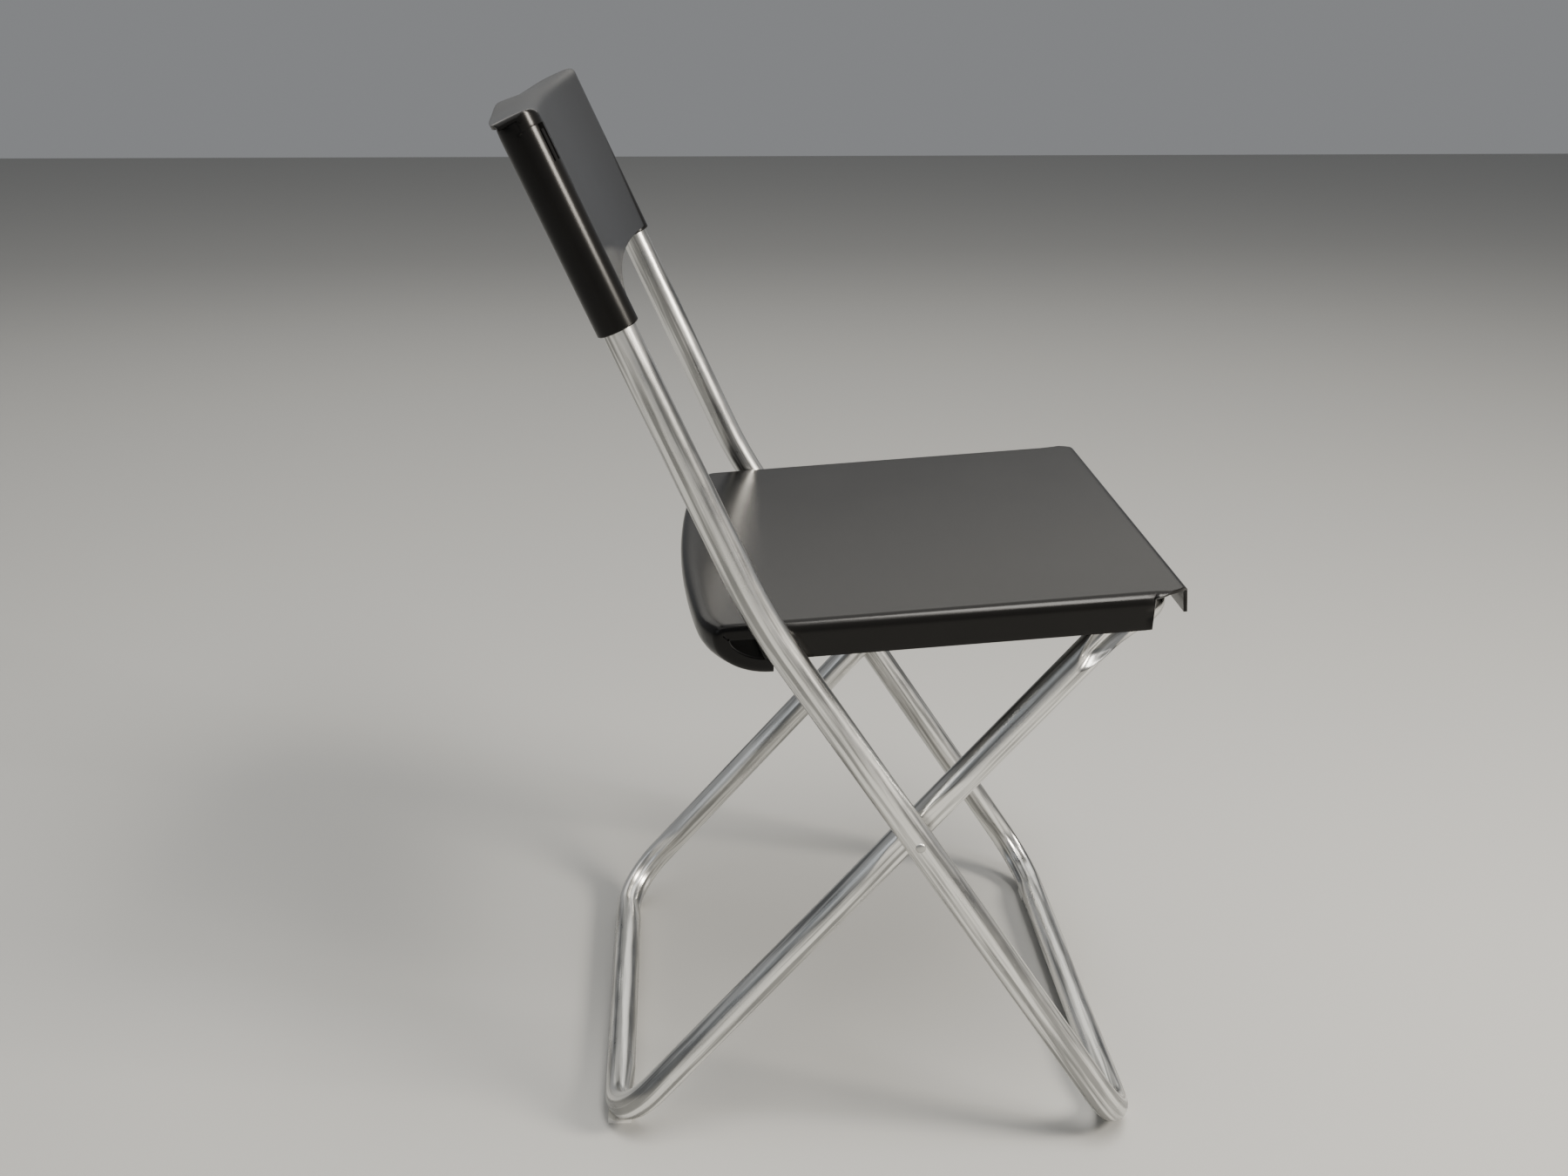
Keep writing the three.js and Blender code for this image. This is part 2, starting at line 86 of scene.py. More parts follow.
SLEEVE_START = 211  # from the uprights' bend to the sleeves' lower ends
SLEEVE_R = 13.9
SLEEVE_TOP = 139
BACKREST_BOW = 11
LIP_HALF = 221.9


# ---- Small helpers

def lerp(a, b, t):
    return a + (b - a) * t


def share(value, start, end):
    """How far value lies on the way from start to end, held between 0 and 1."""
    return min(max((value - start) / (end - start), 0.0), 1.0)


def smooth(value, start, end):
    """0 before start, 1 after end, and a smooth step between them."""
    t = share(value, start, end)
    return t * t * (3 - 2 * t)


def quarter_round(t):
    """How far a quarter circle of radius 1 has dropped at t, from 0 at its top to 1 at its end."""
    return 1 - math.sqrt(1 - t ** 2)


def bezier(a, b, c, d, steps):
    """Points of a cubic curve from a to d, as tuples."""
    points = []
    for k in range(steps + 1):
        t = k / steps
        weights = ((1 - t) ** 3, 3 * t * (1 - t) ** 2, 3 * t * t * (1 - t), t ** 3)
        points.append(tuple(sum(v * w for v, w in zip(values, weights)) for values in zip(a, b, c, d)))
    return points


def chair_point(x, y, z):
    """A point given as in the CAD part, in the row frame, still in millimetres."""
    return Vector((x, y - MIDDLE_Y, z))


def seat_point(x, y, z):
    """From the seat's own frame, whose origin is on its hinge, to the row frame."""
    across = y * math.cos(SEAT_TILT) + z * math.sin(SEAT_TILT)
    up = -y * math.sin(SEAT_TILT) + z * math.cos(SEAT_TILT)
    return chair_point(x, HINGE_Y + across, HINGE_Z + up)


def upright_point(reach):
    """(y, z) on an upright's axis, reach above the bend at seat height."""
    return (SEAT_BEND_AT[0] + reach * math.sin(UPRIGHT_LEAN),
            SEAT_BEND_AT[1] + reach * math.cos(UPRIGHT_LEAN))


def back_point(x, behind, up):
    """From the backrest's frame, up along the uprights from the sleeves' lower ends."""
    y, z = upright_point(SLEEVE_START + up)
    return chair_point(x, y + behind * math.cos(UPRIGHT_LEAN), z - behind * math.sin(UPRIGHT_LEAN))


def scene_object(name, data):
    item = bpy.data.objects.new(name, data)
    bpy.context.scene.collection.objects.link(item)
    return item


def turn_outwards(mesh):
    """Merges doubled points of a closed surface and turns its faces outwards."""
    work = bmesh.new()
    work.from_mesh(mesh)
    bmesh.ops.remove_doubles(work, verts=work.verts, dist=0.005 * MM)
    bmesh.ops.recalc_face_normals(work, faces=work.faces)
    work.to_mesh(mesh)
    work.free()


def mesh_object(name, points, faces, material, body, replaced=(), is_solid=True):
    """A smooth-shaded mesh from points in millimetres, riding on a CAD body."""
    mesh = bpy.data.meshes.new(name)
    mesh.from_pydata([Vector(p) * MM for p in points], [], faces)
    mesh.validate()
    if is_solid:
        turn_outwards(mesh)
    mesh.shade_smooth()
    piece = scene_object(name, mesh)
    mesh.materials.append(material)
    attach(piece, body)
    if replaced:
        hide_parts(*replaced)
    return piece


def add_modifier(piece, kind, **settings):
    modifier = piece.modifiers.new(kind.title(), kind)
    for key, value in settings.items():
        setattr(modifier, key, value)
    return modifier


def grid_faces(rows, columns, closed_rows=False, closed_columns=False):
    """Quads of a grid of points stored row by row."""
    faces = []
    for i in range(rows if closed_rows else rows - 1):
        for j in range(columns if closed_columns else columns - 1):
            right = (j + 1) % columns
            below = (i + 1) % rows
            faces.append((i * columns + j, i * columns + right, below * columns + right, below * columns + j))
    return faces


# ---- Materials

def new_material(name, **sockets):
    """A material with its node tree and shader. A socket's name has _ for each space."""
    material = bpy.data.materials.new(name)
    material.use_nodes = True
    shader = material.node_tree.nodes["Principled BSDF"]
    for socket, value in sockets.items():
        shader.inputs[socket.replace("_", " ")].default_value = value
    return material, material.node_tree, shader


def plain_material(name, **sockets):
    return new_material(name, **sockets)[0]


def noise(tree, source, stretch, detail, roughness):
    """Noise over source, finer along an axis the larger its stretch."""
    mapping = tree.nodes.new("ShaderNodeMapping")
    mapping.inputs["Scale"].default_value = stretch
    tree.links.new(source, mapping.inputs["Vector"])
    node = tree.nodes.new("ShaderNodeTexNoise")
    node.inputs["Scale"].default_value = 1.0
    node.inputs["Detail"].default_value = detail
    node.inputs["Roughness"].default_value = roughness
    tree.links.new(mapping.outputs["Vector"], node.inputs["Vector"])
    return node.outputs["Fac"]


def ramp(tree, value, *stops):
    """A colour ramp of (position, grey or colour) stops."""
    node = tree.nodes.new("ShaderNodeValToRGB")
    for element, (position, colour) in zip(node.color_ramp.elements, stops):
        element.position = position
        element.color = (*colour, 1) if isinstance(colour, tuple) else (colour, colour, colour, 1)
    tree.links.new(value, node.inputs["Fac"])
    return node.outputs["Color"]


def mix(tree, factor, a, b):
    """Colour a with a share of colour b. The factor is a number or an output."""
    node = tree.nodes.new("ShaderNodeMix")
    node.data_type = "RGBA"
    for socket, value in (("Factor", factor), ("A", a), ("B", b)):
        target = next(s for s in node.inputs if s.name == socket and s.enabled)
        if isinstance(value, float):
            target.default_value = value
        else:
            tree.links.new(value, target)
    return next(s for s in node.outputs if s.enabled)


def bump(tree, shader, height, strength, distance):
    node = tree.nodes.new("ShaderNodeBump")
    node.inputs["Strength"].default_value = strength
    node.inputs["Distance"].default_value = distance
    tree.links.new(height, node.inputs["Height"])
    tree.links.new(node.outputs["Normal"], shader.inputs["Normal"])


def galvanised_steel():
    """Zinc with lengthwise drawing streaks, a cloudy bloom and pale flecks."""
    material, tree, shader = new_material("galvanised_tube", Metallic=1.0)
    attribute = tree.nodes.new("ShaderNodeAttribute")
    attribute.attribute_name = "grain"
    grain = attribute.outputs["Vector"]
    streaks = noise(tree, grain, (7, 240, 240), detail=4, roughness=0.55)
    clouds = noise(tree, grain, (24, 60, 60), detail=4, roughness=0.62)
    flecks = noise(tree, grain, (90, 200, 200), detail=3, roughness=0.55)
    light = ramp(tree, streaks, (0.41, (0.17, 0.172, 0.168)), (0.58, (0.9, 0.895, 0.865)))
    bloom = ramp(tree, clouds, (0.3, (0.55, 0.555, 0.55)), (0.7, (0.82, 0.815, 0.79)))
    fleck_share = ramp(tree, flecks, (0.66, 0.0), (0.8, 0.25))
    fleck_colour = ramp(tree, flecks, (0.0, 0.8), (1.0, 0.85))
    colour = mix(tree, fleck_share, mix(tree, 0.25, light, bloom), fleck_colour)
    tree.links.new(colour, shader.inputs["Base Color"])
    tree.links.new(ramp(tree, clouds, (0.3, 0.25), (0.72, 0.35)), shader.inputs["Roughness"])
    bump(tree, shader, streaks, strength=0.02, distance=0.3 * MM)
    return material


def black_shell():
    """Satin black with the faint texture of moulded plastic."""
    material, tree, shader = new_material("black_shell", IOR=1.46, Specular_IOR_Level=0.26)
    position = tree.nodes.new("ShaderNodeTexCoord").outputs["Object"]
    smudges = noise(tree, position, (9, 9, 9), detail=4, roughness=0.6)
    texture = noise(tree, position, (1400, 1400, 1400), detail=2, roughness=0.5)
    colour = ramp(tree, smudges, (0.3, (0.003, 0.0028, 0.0026)), (0.75, (0.005, 0.0047, 0.0043)))
    tree.links.new(colour, shader.inputs["Base Color"])
    tree.links.new(ramp(tree, smudges, (0.3, 0.23), (0.7, 0.255)), shader.inputs["Roughness"])
    bump(tree, shader, texture, strength=0.05, distance=0.2 * MM)
    return material


steel = galvanised_steel()
black = black_shell()
plastic = plain_material("grey_plastic", Base_Color=(0.8, 0.79, 0.75, 1), Roughness=0.5)
zinc = plain_material("rivet_steel", Base_Color=(0.5, 0.5, 0.48, 1), Metallic=1.0, Roughness=0.34)


# ---- Tubes

ARC_STEP = 3.5
COARSE_STEP = 30  # between rings on straight lengths


def rounded_path(corners):
    """Points of a polyline whose corners are rounded. Each corner is (point, radius or 0)."""
    points = []
    for i, (at, radius) in enumerate(corners):
        if not radius:
            points.append(at.copy())
            continue
        into = (at - corners[i - 1][0]).normalized()
        out = (corners[i + 1][0] - at).normalized()
        turn = into.angle(out)
        start = at - into * radius * math.tan(turn / 2)
        inward = (out - into * math.cos(turn)).normalized()
        steps = max(4, math.ceil(turn * radius / ARC_STEP))
        for k in range(steps + 1):
            angle = turn * k / steps
            points.append(start + into * radius * math.sin(angle) + inward * radius * (1 - math.cos(angle)))
    return points


def refined(points, longest):
    """The same path with no step longer than longest(point)."""
    fine = [points[0]]
    for a, b in zip(points, points[1:]):
        steps = max(1, math.ceil((b - a).length / longest((a + b) / 2)))
        fine += [a.lerp(b, k / steps) for k in range(1, steps + 1)]
    return fine


def both_sides(right_half):
    """Corners of the right half (-X) followed by their mirror images."""
    mirrored = [(Vector((-at.x, at.y, at.z)), radius) for at, radius in right_half]
    return right_half + mirrored[::-1]


def tangent_at(points, i, closed):
    """The direction of a path at one of its points, halfway between its steps before and after."""
    ahead = points[(i + 1) % len(points)] if closed else points[min(i + 1, len(points) - 1)]
    behind = points[i - 1] if closed else points[max(i - 1, 0)]
    return ((ahead - points[i]).normalized() + (points[i] - behind).normalized()).normalized()


def grain_reaches(points, closed):
    """How far the grain has run at each point. On a closed tube it is mirrored, so that it has no seam."""
    steps = [(b - a).length for a, b in zip(points, points[1:] + points[:1])]
    length = sum(steps)
    reaches = []
    distance = 0.0
    for step in steps:
        reaches.append(min(distance, length - distance) if closed else distance)
        distance += step
    return reaches


def tube(name, points, up, body, replaced, press, closed, sides=48):
    """A round tube along a path. up is never parallel to the path, and press moves a surface point."""
    rows = len(points)
    ring_points = []
    grain = []
    for i, reach in enumerate(grain_reaches(points, closed)):
        tangent = tangent_at(points, i, closed)
        first = (up - tangent * up.dot(tangent)).normalized()
        second = tangent.cross(first)
        for j in range(sides):
            angle = 2 * math.pi * j / sides
            direction = first * math.cos(angle) + second * math.sin(angle)
            ring_points.append(press(points[i], direction))
            grain.append((reach * MM, TUBE_R * MM * math.cos(angle), TUBE_R * MM * math.sin(angle)))
    faces = grid_faces(rows, sides, closed_rows=closed, closed_columns=True)
    if not closed:
        faces.append(tuple(range(sides)))
        faces.append(tuple((rows - 1) * sides + j for j in reversed(range(sides))))
    piece = mesh_object(name, ring_points, faces, steel, body, replaced)
    layer = piece.data.attributes.new("grain", "FLOAT_VECTOR", "POINT")
    layer.data.foreach_set("vector", np.array(grain, np.float32).ravel())
    return piece


# The bends at the floor are creased lengthwise on their inner side, with a low ridge on each side of it.
BEND_REACH = FLOOR_BEND_R * 1.6  # how far from its centre a bend's crease can lie
CREASE_DEPTH = 3.4
CREASE_GROWS = (7, 30)  # from where to where a ring lies in from the bend's centre
CREASE_FACING = (0.4, 0.88)
RIDGE_SHARE = 0.16
RIDGE_FACING = (0.2, 0.7)
RIDGE_AT = 0.3
RIDGE_WIDTH = 0.12


def crease_depth(facing, sideways):
    """The crease's depth round the tube. facing is 1 on the bend's inside, sideways 0 in the bend's plane."""
    ridges = math.exp(-((sideways - RIDGE_AT) / RIDGE_WIDTH) ** 2) * smooth(facing, *RIDGE_FACING)
    return CREASE_DEPTH * max(0.0, smooth(facing, *CREASE_FACING) - RIDGE_SHARE * ridges)


def floor_dent(centre, direction, bends):
    """How far the tube's surface sinks in on the inside of a floor bend."""
    for bend, middle in bends:
        outward = centre - bend
        if outward.length < BEND_REACH:
            facing = -direction.dot(outward.normalized())
            sideways = abs(direction.dot(Vector((0, -middle.z, middle.y)).normalized()))
            return smooth(outward.dot(middle), *CREASE_GROWS) * crease_depth(facing, sideways)
    return 0.0


def floor_bends(half_x, bar_y, leg):
    """(centre, direction to the bend's middle) of both bends between a floor bar and its legs."""
    inner_x = half_x - FLOOR_BEND_R
    return [(chair_point(side * inner_x, bar_y, FLOOR_Z) + leg * FLOOR_BEND_R,
             (Vector((side, 0, 0)) - leg).normalized()) for side in (-1, 1)]


# The rivet heads pull shallow dimples into the outer sides of the outer tube.
DIMPLE_R = 6.5
DIMPLE_DEPTH = 0.7
DIMPLE_STEP = 6
DIMPLE_NEAR = 14


def pivot_on_outer(point):
    """The pivot on the outer tube's axis, on the same side as point."""
    return chair_point(math.copysign(OUTER_X, point.x), PIVOT_Y, PIVOT_Z)


def rivet_dimple(surface):
    head = pivot_on_outer(surface)
    near = math.hypot(surface.y - head.y, surface.z - head.z)
    if near < DIMPLE_R and abs(surface.x) > OUTER_X:
        depth = DIMPLE_DEPTH * 0.5 * (1 + math.cos(math.pi * near / DIMPLE_R))
        surface.x -= math.copysign(depth, surface.x)
    return surface


def outer_step(point):
    """The longest step of the outer tube's path, short at the rivets."""
    return DIMPLE_STEP if (point - pivot_on_outer(point)).length < DIMPLE_NEAR else COARSE_STEP


def outer_frame():
    leg = Vector((0, SEAT_BEND_AT[0] - FRONT_BAR_Y, SEAT_BEND_AT[1] - FLOOR_Z)).normalized()
    bends = floor_bends(OUTER_X, FRONT_BAR_Y, leg)
    corners = both_sides([
        (chair_point(-OUTER_X, *upright_point(UPRIGHT_LENGTH)), 0),
        (chair_point(-OUTER_X, *SEAT_BEND_AT), SEAT_BEND_R),
        (chair_point(-OUTER_X, FRONT_BAR_Y, FLOOR_Z), FLOOR_BEND_R),
    ])

    def press(centre, direction):
        sunk = TUBE_R - floor_dent(centre, direction, bends)
        return rivet_dimple(centre + direction * sunk)

    return tube("outer_frame_tube_skin", refined(rounded_path(corners), outer_step),
                Vector((0, -leg.z, leg.y)), "outer_frame", ["outer_frame_tube"], press, closed=False)


LEG_RISE = Vector((0, PIVOT_Y - REAR_BAR_Y, PIVOT_Z - FLOOR_Z)).normalized()
LEG_BESIDE = Vector((0, LEG_RISE.z, -LEG_RISE.y))

# Lengths along the inner legs are measured from the pivot.
PRESSED = ((-70, 70), (135, 240))  # where the rings stand close together
PRESSED_STEP = 2.2
PIVOT_FLAT = 8.9  # how far the flat at the pivot lies outside the leg's axis
PIVOT_FLAT_FADE = (20, 66)
PIVOT_FLAT_EASE = 0.8
SEAT_FLAT = 4.4  # the same for the spoon-shaped hollow under the seat's flange
SEAT_FLAT_FROM = 158
SPOON_ROUNDING = 0.13
FLAT_RAMP = 20
GROOVE_DEPTH = 2.6
GROOVE_HALF = 9
FOLD_HEIGHT = 1.3  # of the sharp fold in the hollow
FOLD_AT = 2
FOLD_WIDTH = 1.6
UNPRESSED = TUBE_R + 0.6
CLIP_SOFTNESS = 0.5


def leg_distance(point):
    """How far above the pivot a point lies along an inner leg."""
    return (point - chair_point(0, PIVOT_Y, PIVOT_Z)).dot(LEG_RISE)


def inner_step(point):
    """The longest step of the inner tube's path, short where its legs are pressed."""
    distance = leg_distance(point)
    return PRESSED_STEP if any(start < distance < end for start, end in PRESSED) else COARSE_STEP


def soft_clip(value, limit):
    """value, rounded off smoothly where it would pass limit."""
    over = value - (limit - CLIP_SOFTNESS)
    return value if over < 0 else limit - CLIP_SOFTNESS * math.exp(-over / CLIP_SOFTNESS)


def spoon_limit(beside):
    """How far out the hollow under the seat's flange reaches, beside the leg's axis."""
    groove = GROOVE_DEPTH * (1 - (min(abs(beside), GROOVE_HALF) / GROOVE_HALF) ** 2)
    fold = FOLD_HEIGHT * math.exp(-((beside - FOLD_AT) / FOLD_WIDTH) ** 2)
    return SEAT_FLAT - groove + fold


def press_leg(surface):
    """Flattens the outer side of the inner legs at the pivot and hollows it under the seat's flanges."""
    out = abs(surface.x) - INNER_X
    distance = leg_distance(surface)
    if out <= 0:
        return surface
    limit = lerp(PIVOT_FLAT, UNPRESSED, smooth(abs(distance), *PIVOT_FLAT_FADE) ** PIVOT_FLAT_EASE)
    beside = (surface - chair_point(0, PIVOT_Y, PIVOT_Z)).dot(LEG_BESIDE)
    spoon_end = SEAT_FLAT_FROM + SPOON_ROUNDING * beside ** 2
    upper = smooth(distance, spoon_end, spoon_end + FLAT_RAMP)
    if upper > 0:
        limit = min(limit, lerp(UNPRESSED, spoon_limit(beside), upper))
    surface.x = math.copysign(INNER_X + soft_clip(out, limit), surface.x)
    return surface


def inner_frame():
    knee = chair_point(-INNER_X, PIVOT_Y, PIVOT_Z) + LEG_RISE * ((KNEE_Z - PIVOT_Z) / LEG_RISE.z)
    bar_end = chair_point(-SEAT_BAR_HALF, *SEAT_BAR_AT)
    bend = bezier(knee, knee + LEG_RISE * KNEE_PULL_LEG, bar_end - Vector((KNEE_PULL_BAR, 0, 0)), bar_end, 24)
    bends = floor_bends(INNER_X, REAR_BAR_Y, LEG_RISE)
    corners = both_sides([
        (chair_point(0, REAR_BAR_Y, FLOOR_Z), 0),
        (chair_point(-INNER_X, REAR_BAR_Y, FLOOR_Z), FLOOR_BEND_R),
        *((Vector(point), 0) for point in bend),
    ])

    def press(centre, direction):
        sunk = TUBE_R - floor_dent(centre, direction, bends)
        return press_leg(centre + direction * sunk)

    return tube("inner_frame_tube_skin", refined(rounded_path(corners), inner_step)[:-1], LEG_BESIDE,
                "inner_frame", ["inner_frame_tube"], press, closed=True, sides=96)


# ---- Turned pieces

def turned(name, profile, to_chair, material, body, replaced=(), sides=48):
    """A closed profile of (radius, along) pairs turned about its axis and placed by to_chair."""
    points = []
    for radius, along in profile:
        for j in range(sides):
            angle = 2 * math.pi * j / sides
            points.append(to_chair(radius * math.cos(angle), radius * math.sin(angle), along))
    off_axis = profile[0][0] > 0
    faces = grid_faces(len(profile), sides, closed_rows=off_axis, closed_columns=True)
    return mesh_object(name, points, faces, material, body, replaced)


RIVET_R = 2.6


def rivet(side, sign):
    """A rivet with a domed head outside the outer tube and another inside the inner one."""
    outside = OUTER_X + TUBE_R - DIMPLE_DEPTH
    inside = INNER_X - TUBE_R
    inner_head = [(0, inside - 3.4), (2.6, inside - 3.2), (3.9, inside - 2.4), (4.2, inside - 1.7)]
    shank = [(RIVET_R, inside - 1.65), (RIVET_R, outside - 0.1)]
    outer_head = [(3.6, outside + 0.05), (3.5, outside + 0.7), (2.7, outside + 1.25), (1.4, outside + 1.55),
                  (0, outside + 1.6)]

    def place(across, up, along):
        return chair_point(sign * along, PIVOT_Y + across, PIVOT_Z + sign * up)

    return turned("pivot_rivet_skin_" + side, inner_head + shank + outer_head, place, zinc, "outer_frame",
                  ["pivot_rivet_" + side])


# ---- Seat

SIDE_BEND_R = 5
REAR_BEND_R = 1.8
LIP_BEND_R = 2.6
LIP_DEPTH = 17.3
CORNER_FROM = -254
CORNER_INSET = 12
REAR_CORNER_FROM = 148
REAR_CORNER_CUT = 9.5
REAR_NARROWING = 3
NARROWS_ALONG = (4, 16)
BOWS_ALONG = (-10, 50)
CUT_ALONG = (5, 45)
FLANGE_DEPTH = 23
FLANGE_FRONT = -250
FLANGE_FADE = 13  # the flange's bend fades out over this length in front of it
FLANGE_REAR = 13
SEAT_REAR_BOW = 14
CURL_FROM = 41.5
CURL_BACK = (51, 6)
CURL_END = (7, -17.8)
CURL_RIM = 9

# The grid's rows follow the seat's profile, and its columns run across it. On the plate the rows are given
# as (first, last, count).
PLATE_ROWS = ((-270, FLANGE_FRONT, 9), (-244, FLANGE_REAR, 24), (20, 38, 5))
PLATE_COLUMNS = 12
FLANGE_COLUMNS = 14
FLANGE_SPACING = 1.5  # above 1 the columns stand closer together at the bend


def arc(centre, radius, start, end, steps):
    """Points of an arc in the YZ plane, angles in degrees from +Y towards +Z."""
    angles = [math.radians(lerp(start, end, k / steps)) for k in range(steps + 1)]
    return [(centre[0] + radius * math.cos(a), centre[1] + radius * math.sin(a)) for a in angles]


def seat_profile():
    """The seat's outer line in YZ from the lip's lower edge over the top to the end of the rear curl."""
    lip = [(SEAT_FRONT, SEAT_TOP - drop) for drop in (LIP_DEPTH, 9)]
    lip += arc((SEAT_FRONT + LIP_BEND_R, SEAT_TOP - LIP_BEND_R), LIP_BEND_R, 180, 90, 6)
    plate = [(y, SEAT_TOP) for rows in PLATE_ROWS for y in np.linspace(*rows)]
    curl = bezier((CURL_FROM, SEAT_TOP), (48.5, SEAT_TOP), (51, 12.5), CURL_BACK, 9)
    curl += bezier(CURL_BACK, (50.5, -9), (34, -17), CURL_END, 14)[1:]
    return lip + plate + curl


def on_plate(z):
    return z > SEAT_TOP - 1


def flange_depth(y, z, bend_r):
    """How deep the side flange or rim is at a point of the profile, measured round its bend."""
    if y < FLANGE_FRONT:
        fade = 1 - quarter_round(share(y, FLANGE_FRONT, FLANGE_FRONT - FLANGE_FADE))
        return bend_r * fade if on_plate(z) else 0.0
    if y <= FLANGE_REAR and on_plate(z):
        return FLANGE_DEPTH + bend_r * (math.pi / 2 - 1)
    return CURL_RIM


def seat_half_width(y, rearwards):
    """Half the seat's width, rounded in at its front corners and narrower behind its flanges."""
    rounded_in = CORNER_INSET * quarter_round(share(y, CORNER_FROM, SEAT_FRONT))
    return SEAT_X - REAR_NARROWING * rearwards - rounded_in


def seat_half_row(half_width, bend_r, depth):
    """(x, drop) from the middle of the plate out to its edge and down its flange."""
    plate_x = half_width - bend_r * math.sin(min(depth / bend_r, math.pi / 2))
    half = [(plate_x * math.sin(math.pi / 2 * k / PLATE_COLUMNS), 0.0) for k in range(PLATE_COLUMNS + 1)]
    for k in range(1, FLANGE_COLUMNS + 1):
        length = depth * (k / FLANGE_COLUMNS) ** FLANGE_SPACING
        angle = min(length / bend_r, math.pi / 2)
        straight = max(0.0, length - bend_r * math.pi / 2)
        half.append((plate_x + bend_r * math.sin(angle), bend_r * (1 - math.cos(angle)) + straight))
    return half


def seat_row(y, z, along):
    """A row of the sheet from edge to edge, where the profile passes (y, z) in the direction along."""
    in_curl = y > 0 and not on_plate(z)
    rearwards = 1.0 if in_curl else smooth(y, *NARROWS_ALONG)
    bowed = 1.0 if in_curl else smooth(y, *BOWS_ALONG)
    cut_back = REAR_CORNER_CUT * smooth(y, *CUT_ALONG)
    bend_r = lerp(SIDE_BEND_R, REAR_BEND_R, rearwards)
    half = seat_half_row(seat_half_width(y, rearwards), bend_r, flange_depth(y, z, bend_r))
    row = []
    for x, drop in [(-x, drop) for x, drop in reversed(half[1:])] + half:
        behind = SEAT_REAR_BOW * (1 - (x / SEAT_X) ** 2) * bowed
        behind -= cut_back * share(abs(x), REAR_CORNER_FROM, SEAT_X) ** 3
        row.append(seat_point(x, y + along.y * drop + behind, z - along.x * drop))
    return row


def has_area(face, points):
    """False for a quad that has shrunk to a line, where the flange has no depth."""
    return len({tuple(round(v, 3) for v in points[i]) for i in face}) >= 3


def seat_shell():
    """One thin sheet: lip, plate and rear curl, with flanges turned down along the plate's sides."""
    profile = seat_profile()
    rows = len(profile)
    points = []
    for i, (y, z) in enumerate(profile):
        along = Vector(profile[min(i + 1, rows - 1)]) - Vector(profile[max(i - 1, 0)])
        points += seat_row(y, z, along.normalized())
    columns = 2 * (PLATE_COLUMNS + FLANGE_COLUMNS) + 1
    faces = [face[::-1] for face in grid_faces(rows, columns) if has_area(face, points)]
    piece = mesh_object("seat_shell_skin", points, faces, black, "seat", ["seat_shell"],
                        is_solid=False)
    add_modifier(piece, "WELD", merge_threshold=0.02 * MM)
    add_modifier(piece, "SOLIDIFY", thickness=SHELL * MM, offset=-1, use_quality_normals=True)
    add_modifier(piece, "BEVEL", width=0.5 * MM, segments=2, limit_method="ANGLE", angle_limit=1.0)
    return piece


# ---- Backrest, given as x, how far behind the uprights' axes, and how far up from the sleeves' lower ends

PANEL_LOW = -14
PANEL_HIGH = -16
PANEL_HIGH_AT = 124
PANEL_TOP = 131
PANEL_THICK = 3
ARCH_HALF = 193
ARCH_LOW = 3.2
ARCH_RISE = 8.3
LIP_FROM = (PANEL_HIGH, 133)
LIP_CREST = (-2, 142)
LIP_REAR = (14, 141.8)
LIP_REAR_BOW = 5
LIP_REAR_RISE = 4.3
LIP_RISE_HALF = 62
LIP_CORNER_FROM = 212
LIP_CORNER_CUT = 3
LIP_CORNER_DROP = 1.5
LIP_EDGE_R = 3.2
LIP_HUG_R = 13.95  # the lip's ends lie flush on the sleeves

PANEL_HEIGHTS = (0, 6, 14, 30, 50, 70, 90, 100, 112, PANEL_HIGH_AT, PANEL_TOP)
PANEL_HALF = 196
PANEL_COLUMNS = 18
SLEEVE_COLUMNS = [202, 207, 210, 213, 216, 218.5, 219.5, 220.4, 221.1, 221.6, LIP_HALF]


def backrest_line():
    """The backrest's front line at its sides, as (behind, up), from the bottom edge to the rear edge."""
    front = [(lerp(PANEL_LOW, PANEL_HIGH, up / PANEL_HIGH_AT), up) for up in PANEL_HEIGHTS]
    crest = bezier(LIP_FROM, (-16, 140.5), (-10.5, 141.9), LIP_CREST, 10)
    top = bezier(LIP_CREST, (3, 142.1), (9, 142.2), LIP_REAR, 6)
    return front + crest + top[1:]


def pushed_back(x, behind, rear, outward):
    """behind at x, with the backrest's bow and the lip's rounded corners, but nowhere inside a sleeve."""
    bow = (BACKREST_BOW + LIP_REAR_BOW * rear) * (1 - (x / LIP_HALF) ** 2)
    beyond = max(0.0, abs(x) - OUTER_X)
    sleeve_front = -math.sqrt(LIP_HUG_R ** 2 - beyond ** 2)
    return max(behind + bow - LIP_CORNER_CUT * rear * outward ** 2, sleeve_front)


def raised_up(x, up, rear, outward):
    """up at x, with the arch below the panel and the lip's hump, rounded edges and corners."""
    arch = ARCH_LOW + ARCH_RISE * max(0.0, 1 - (x / ARCH_HALF) ** 2)
    raised = arch + up * (1 - arch / PANEL_TOP) if up < PANEL_TOP else up
    if up > PANEL_TOP:
        raised -= LIP_EDGE_R * quarter_round(share(abs(x), LIP_HALF - LIP_EDGE_R, LIP_HALF))
    hump = LIP_REAR_RISE * rear * math.exp(-(x / LIP_RISE_HALF) ** 2)
    return raised + hump - LIP_CORNER_DROP * rear * outward ** 2


def backrest_surface(x, behind, up):
    """Where a point of the backrest's line goes at x."""
    rear = share(behind, PANEL_HIGH, LIP_REAR[0])
    outward = share(abs(x), LIP_CORNER_FROM, LIP_HALF)
    return back_point(x, pushed_back(x, behind, rear, outward), raised_up(x, up, rear, outward))


